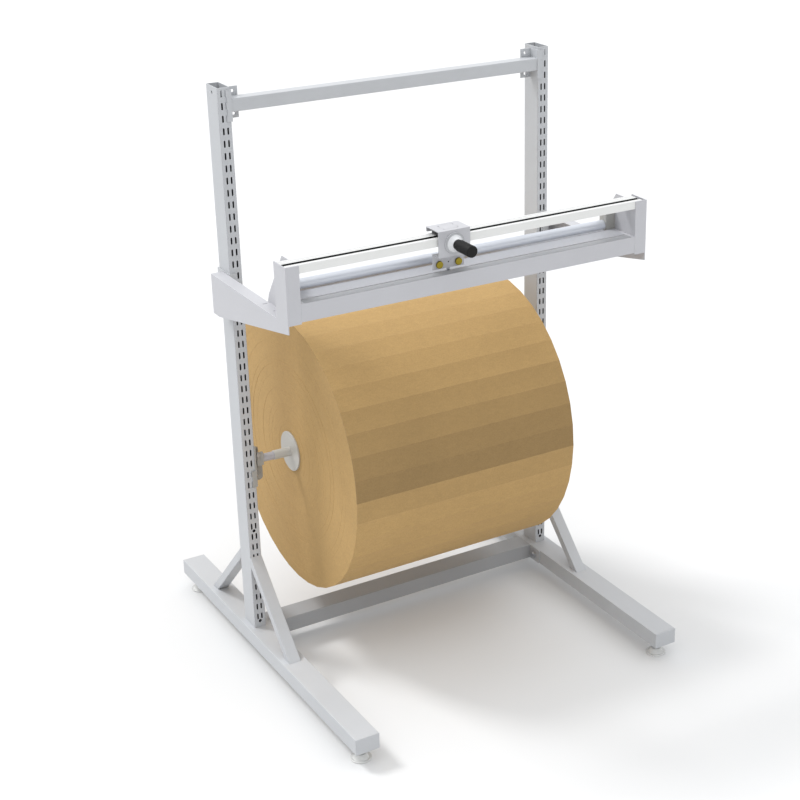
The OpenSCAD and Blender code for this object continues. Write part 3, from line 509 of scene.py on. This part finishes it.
def makeStem(node, body):
    low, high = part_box(node)
    middle = (low + high) / 2
    crest = (high.x - low.x) / 2
    sides, pitch = thread["sides"], thread["pitch"]
    rows = 2 * (math.ceil((high.z - low.z) / pitch) + 2 * thread["spareTurns"])
    form = bmesh.new()
    grid = []
    for row in range(rows + 1):
        radius = crest if row % 2 else crest - thread["depth"]
        for index in range(sides + 1):
            angle = 2 * math.pi * index / sides
            rise = low.z + pitch * (row / 2 - thread["spareTurns"] + index / sides)
            grid.append(form.verts.new((middle.x + radius * math.cos(angle),
                                        middle.y + radius * math.sin(angle), rise)))
    for row in range(rows):
        for index in range(sides):
            here = row * (sides + 1) + index
            form.faces.new([grid[corner] for corner in (here, here + 1, here + sides + 2, here + sides + 1)])
    bmesh.ops.remove_doubles(form, verts=form.verts, dist=thread["weld"])
    for height, outwards in ((low.z, -1), (high.z, 1)):
        bmesh.ops.bisect_plane(form, geom=form.verts[:] + form.edges[:] + form.faces[:], dist=thread["weld"],
                               plane_co=(0, 0, height), plane_no=(0, 0, outwards), clear_outer=True)
    bmesh.ops.holes_fill(form, edges=[edge for edge in form.edges if edge.is_boundary], sides=0)
    bmesh.ops.recalc_face_normals(form, faces=form.faces)
    form.verts.index_update()
    points = [corner.co[:] for corner in form.verts]
    faces = [tuple(corner.index for corner in face.verts) for face in form.faces]
    form.free()
    addPiece(node + "_thread", points, faces, materials["zinc"], body, node)


for corner in ("front_left", "front_right", "rear_left", "rear_right"):
    makeStem(corner + "_foot_stem", corner + "_foot")
print("wrap and stems made")


# Camera at the photograph's place

camera = {
    "place": (-1.825768, -3.301104, 2.230472),
    "azimuth": 32.603,
    "fall": 23.234,
    "roll": -0.047,
    "focalPixels": 1655.309,
    "axisPixel": (512.145, 403.348),
    "framePixels": 800,
    "sensor": 36.0,
    "reach": 60.0,
}


def makeCamera():
    data = bpy.data.cameras.new("Camera")
    data.sensor_width = camera["sensor"]
    data.lens = camera["focalPixels"] / camera["framePixels"] * camera["sensor"]
    data.shift_x = 0.5 - camera["axisPixel"][0] / camera["framePixels"]
    data.shift_y = camera["axisPixel"][1] / camera["framePixels"] - 0.5
    data.clip_end = camera["reach"]
    shown = bpy.data.objects.new("Camera", data)
    azimuth, fall, roll = (math.radians(camera[key]) for key in ("azimuth", "fall", "roll"))
    forward = Vector((math.sin(azimuth) * math.cos(fall), math.cos(azimuth) * math.cos(fall),
                      -math.sin(fall)))
    right = Vector((math.cos(azimuth), -math.sin(azimuth), 0))
    up = right.cross(forward)
    turnedRight = math.cos(roll) * right + math.sin(roll) * up
    turnedUp = math.cos(roll) * up - math.sin(roll) * right
    rows = Matrix((turnedRight, turnedUp, -forward)).transposed().to_4x4()
    shown.matrix_world = Matrix.Translation(camera["place"]) @ rows
    bpy.context.scene.collection.objects.link(shown)
    bpy.context.scene.camera = shown


makeCamera()


# Floor, sky and sun

stage = {
    "floorSize": 60.0,
    "floorColor": screenColor(213, 213, 213),
    "floorBounce": screenColor(215, 215, 215),
    "floorLift": 0.08,
    "floorRoughness": 0.9,
    "floorSpecular": 0.2,
    "white": (1.0, 1.0, 1.0, 1.0),
    "skyColor": (0.97, 0.985, 1.0, 1.0),
    "skyTop": 1.55,
    "skyRim": 0.12,
    "skyLeft": 0.16,
    "skyFront": 0.32,
    "sunLevel": 1.46,
    "sunWidth": 14.0,
    "sunFrom": (-0.63, 0.78),
    "sunHeight": 52.0,
}


# On for what the camera sees straight or in gloss, off for the light that falls on the object

def seenDirectly(tree):
    path = tree.nodes.new("ShaderNodeLightPath")
    seen = addMath(tree, "MAXIMUM", path.outputs["Is Camera Ray"], path.outputs["Is Glossy Ray"])
    return addMath(tree, "MAXIMUM", seen, path.outputs["Is Transmission Ray"])


def makeFloor():
    mesh = bpy.data.meshes.new("Floor")
    half = stage["floorSize"] / 2
    corners = [(-half, -half, 0), (half, -half, 0), (half, half, 0), (-half, half, 0)]
    mesh.from_pydata(corners, [], [(0, 1, 2, 3)])
    floor = bpy.data.objects.new("Floor", mesh)
    bpy.context.scene.collection.objects.link(floor)
    material = bpy.data.materials.new("Floor")
    material.use_nodes = True
    tree = material.node_tree
    principled = tree.nodes["Principled BSDF"]
    shade = tree.nodes.new("ShaderNodeMix")
    shade.data_type = "RGBA"
    shade.inputs["A"].default_value = stage["floorBounce"]
    shade.inputs["B"].default_value = stage["floorColor"]
    tree.links.new(seenDirectly(tree), shade.inputs["Factor"])
    tree.links.new(shade.outputs["Result"], principled.inputs["Base Color"])
    principled.inputs["Roughness"].default_value = stage["floorRoughness"]
    principled.inputs["Specular IOR Level"].default_value = stage["floorSpecular"]
    principled.inputs["Emission Color"].default_value = stage["white"]
    lift = addMath(tree, "MULTIPLY", seenDirectly(tree), stage["floorLift"])
    tree.links.new(lift, principled.inputs["Emission Strength"])
    mesh.materials.append(material)


def makeSky():
    world = bpy.data.worlds.new("Sky")
    bpy.context.scene.world = world
    world.use_nodes = True
    tree = world.node_tree
    background = tree.nodes["Background"]
    tint = tree.nodes.new("ShaderNodeMix")
    tint.data_type = "RGBA"
    tint.inputs["A"].default_value = stage["skyColor"]
    tint.inputs["B"].default_value = stage["white"]
    tree.links.new(seenDirectly(tree), tint.inputs["Factor"])
    tree.links.new(tint.outputs["Result"], background.inputs["Color"])
    split = tree.nodes.new("ShaderNodeSeparateXYZ")
    tree.links.new(tree.nodes.new("ShaderNodeTexCoord").outputs["Generated"], split.inputs[0])
    rise = addSpread(tree, split.outputs["Z"], stage["skyRim"], stage["skyTop"], fromLow=0.0, fromHigh=1.0)
    left = addSpread(tree, split.outputs["X"], stage["skyLeft"], 0.0, fromLow=-1.0, fromHigh=0.0)
    front = addSpread(tree, split.outputs["Y"], stage["skyFront"], 0.0, fromLow=-1.0, fromHigh=0.0)
    around = addMath(tree, "ADD", rise, addMath(tree, "ADD", left, front))
    level = addSpread(tree, seenDirectly(tree), around, 1.0, fromLow=0.0, fromHigh=1.0)
    tree.links.new(level, background.inputs["Strength"])


def makeSun():
    lamp = bpy.data.lights.new("Sun", "SUN")
    lamp.energy = stage["sunLevel"]
    lamp.angle = math.radians(stage["sunWidth"])
    shown = bpy.data.objects.new("Sun", lamp)
    height = math.radians(stage["sunHeight"])
    across = stage["sunFrom"]
    towards = Vector((across[0] * math.cos(height), across[1] * math.cos(height), math.sin(height)))
    shown.rotation_mode = "QUATERNION"
    shown.rotation_quaternion = towards.to_track_quat("Z", "Y")
    bpy.context.scene.collection.objects.link(shown)


makeFloor()
makeSky()
makeSun()
bpy.context.scene.view_settings.view_transform = "Standard"
print("stage ready")
